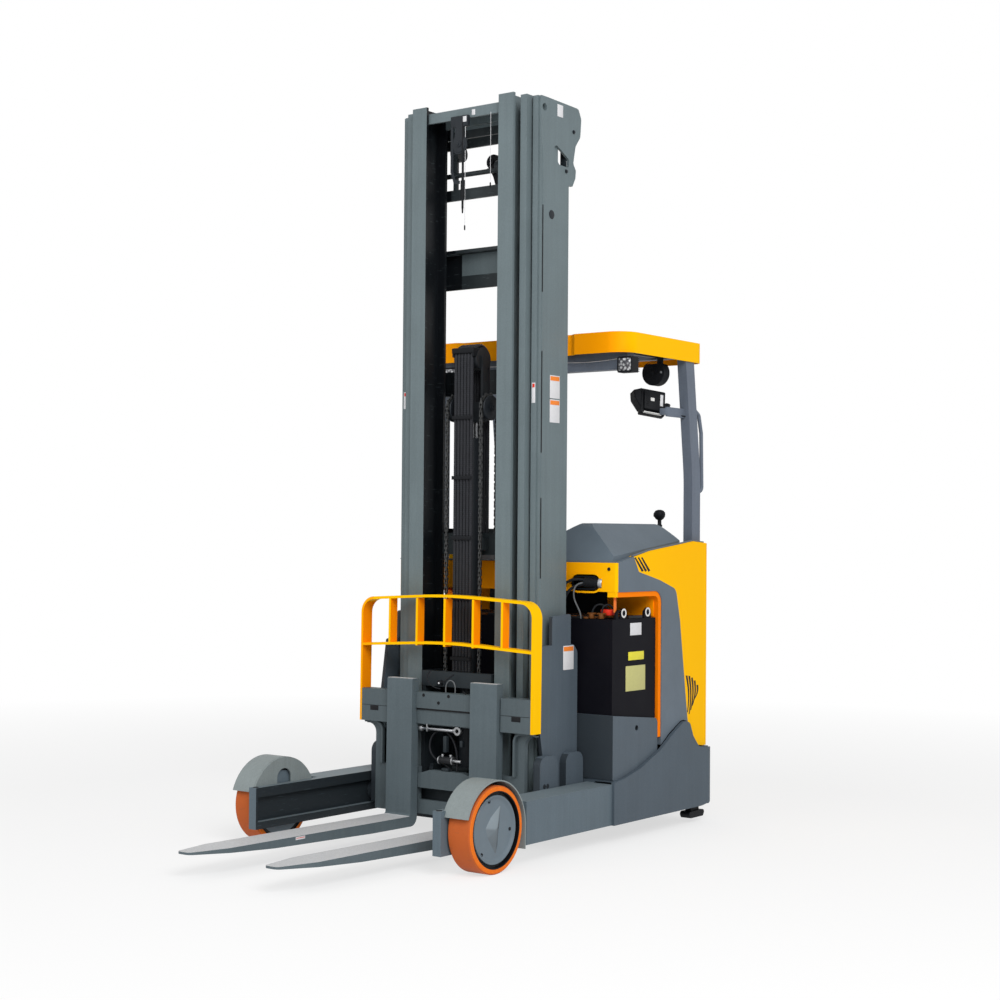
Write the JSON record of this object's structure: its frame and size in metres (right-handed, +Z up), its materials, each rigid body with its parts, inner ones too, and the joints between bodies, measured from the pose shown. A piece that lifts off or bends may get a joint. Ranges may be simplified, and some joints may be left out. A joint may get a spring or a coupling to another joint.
{
  "type": "reach truck",
  "caption": "Warehouse reach truck with straddle legs, sliding three-stage mast, tilting forks, side-sitting driver's place and overhead guard.",
  "frame": {"origin": "on the floor under the middle of the truck's length and width, forks lowered, mast drawn back", "axes": "+Z up, forks point to -Y, +X is the operator's left when facing the forks"},
  "size_m": [1.24, 2.5046, 3.178],
  "materials": {
    "frame_grey": "satin",
    "leg_grey": "satin",
    "yellow": "satin",
    "orange": "satin",
    "grey_cover": "satin",
    "black_plastic": "matte",
    "battery_case": "satin black coating",
    "tyre_orange": "matte polyurethane",
    "tyre_black": "matte polyurethane",
    "hub_grey": "satin",
    "motor_black": "matte",
    "seat_black": "matte vinyl",
    "chain_steel": "oiled",
    "rod_chrome": "polished",
    "tube_grey": "satin",
    "hose_black": "satin",
    "cable_grey": "satin"
  },
  "bodies": {
    "chassis": {"straddle_leg_left": "leg_grey", "straddle_leg_right": "leg_grey", "fender_left": "leg_grey", "fender_right": "leg_grey", "side_cover_left": "grey_cover", "side_cover_right": "grey_cover", "side_panel_left": "yellow", "side_panel_right": "yellow", "chassis_frame": "frame_grey", "rear_feet": "black_plastic", "battery": "battery_case", "battery_tray": "frame_grey", "front_cowl": "orange", "hood": "grey_cover", "rear_panel": "yellow", "console": "black_plastic", "seat_base": "grey_cover", "seat_cushion": "seat_black", "seat_back": "seat_black", "armrest": "black_plastic", "guard_roof": "yellow", "guard_frame": "tube_grey", "grab_handle": "tube_grey", "monitor": "black_plastic", "cab_fan": "black_plastic", "work_light_left": "black_plastic", "work_light_right": "black_plastic", "reach_barrel": "frame_grey", "hose_sleeve": "hose_black", "cowl_hose_upper": "hose_black", "cowl_hose_lower": "hose_black", "cowl_cable": "cable_grey"},
    "load_wheel_left": {"load_tyre_left": "tyre_orange", "load_hub_left": "hub_grey"},
    "load_wheel_right": {"load_tyre_right": "tyre_orange", "load_hub_right": "hub_grey"},
    "steering": {"steering_wheel": "black_plastic"},
    "drive_turntable": {"drive_unit": "motor_black", "drive_motor": "motor_black"},
    "drive_roll": {"drive_wheel": "tyre_black"},
    "mast_carriage": {"reach_carriage": "frame_grey", "reach_rod": "rod_chrome", "outer_mast": "frame_grey", "lift_barrels": "frame_grey"},
    "middle_stage": {"middle_mast": "frame_grey", "lift_rods": "rod_chrome"},
    "inner_stage": {"inner_mast": "frame_grey", "free_barrel": "frame_grey"},
    "free_head": {"free_rod": "rod_chrome", "lift_chains": "chain_steel", "mast_hoses": "hose_black"},
    "fork_carriage": {"carriage_frame": "frame_grey"},
    "fork_tilter": {"fork_frame": "frame_grey", "fork_left": "frame_grey", "fork_right": "frame_grey", "load_backrest": "yellow", "carriage_wire": "cable_grey", "carriage_hose": "hose_black"}
  },
  "joints": [
    {"name": "reach_slide", "type": "slide", "parent": "chassis", "child": "mast_carriage", "axis": [0, -1, 0], "range_m": [0, 0.6]},
    {"name": "mast_lift", "type": "slide", "parent": "mast_carriage", "child": "middle_stage", "axis": [0, 0, 1], "range_m": [0, 2.45]},
    {"name": "inner_lift", "type": "slide", "parent": "middle_stage", "child": "inner_stage", "axis": [0, 0, 1], "range_m": [0, 2.45]},
    {"name": "free_lift", "type": "slide", "parent": "inner_stage", "child": "fork_carriage", "axis": [0, 0, 1], "range_m": [0, 1.9]},
    {"name": "free_rod_slide", "type": "slide", "parent": "inner_stage", "child": "free_head", "axis": [0, 0, 1], "range_m": [0, 0.95], "deforming": ["lift_chains", "mast_hoses"]},
    {"name": "fork_tilt", "type": "hinge", "parent": "fork_carriage", "child": "fork_tilter", "pos_m": [0, 0.09634, 0.25], "axis": [-1, 0, 0], "range_deg": [-2, 2]},
    {"name": "load_wheel_left_spin", "type": "hinge", "parent": "chassis", "child": "load_wheel_left", "pos_m": [0.566, -0.42366, 0.17], "axis": [1, 0, 0], "continuous": true},
    {"name": "load_wheel_right_spin", "type": "hinge", "parent": "chassis", "child": "load_wheel_right", "pos_m": [-0.566, -0.42366, 0.17], "axis": [1, 0, 0], "continuous": true},
    {"name": "drive_steer", "type": "hinge", "parent": "chassis", "child": "drive_turntable", "pos_m": [-0.25, 1.00634, 0.416], "axis": [0, 0, 1], "range_deg": [-90, 90]},
    {"name": "drive_spin", "type": "hinge", "parent": "drive_turntable", "child": "drive_roll", "pos_m": [-0.25, 1.00634, 0.1715], "axis": [1, 0, 0], "continuous": true},
    {"name": "steering_wheel_turn", "type": "hinge", "parent": "chassis", "child": "steering", "pos_m": [0.31, 1.11634, 1.352], "axis": [0, 0, 1], "range_deg": [-360, 360]}
  ],
  "couplings": [
    {"joint": "inner_lift", "follows": "mast_lift", "ratio": 1},
    {"joint": "free_rod_slide", "follows": "free_lift", "ratio": 0.5},
    {"joint": "steering_wheel_turn", "follows": "drive_steer", "ratio": 4}
  ]
}
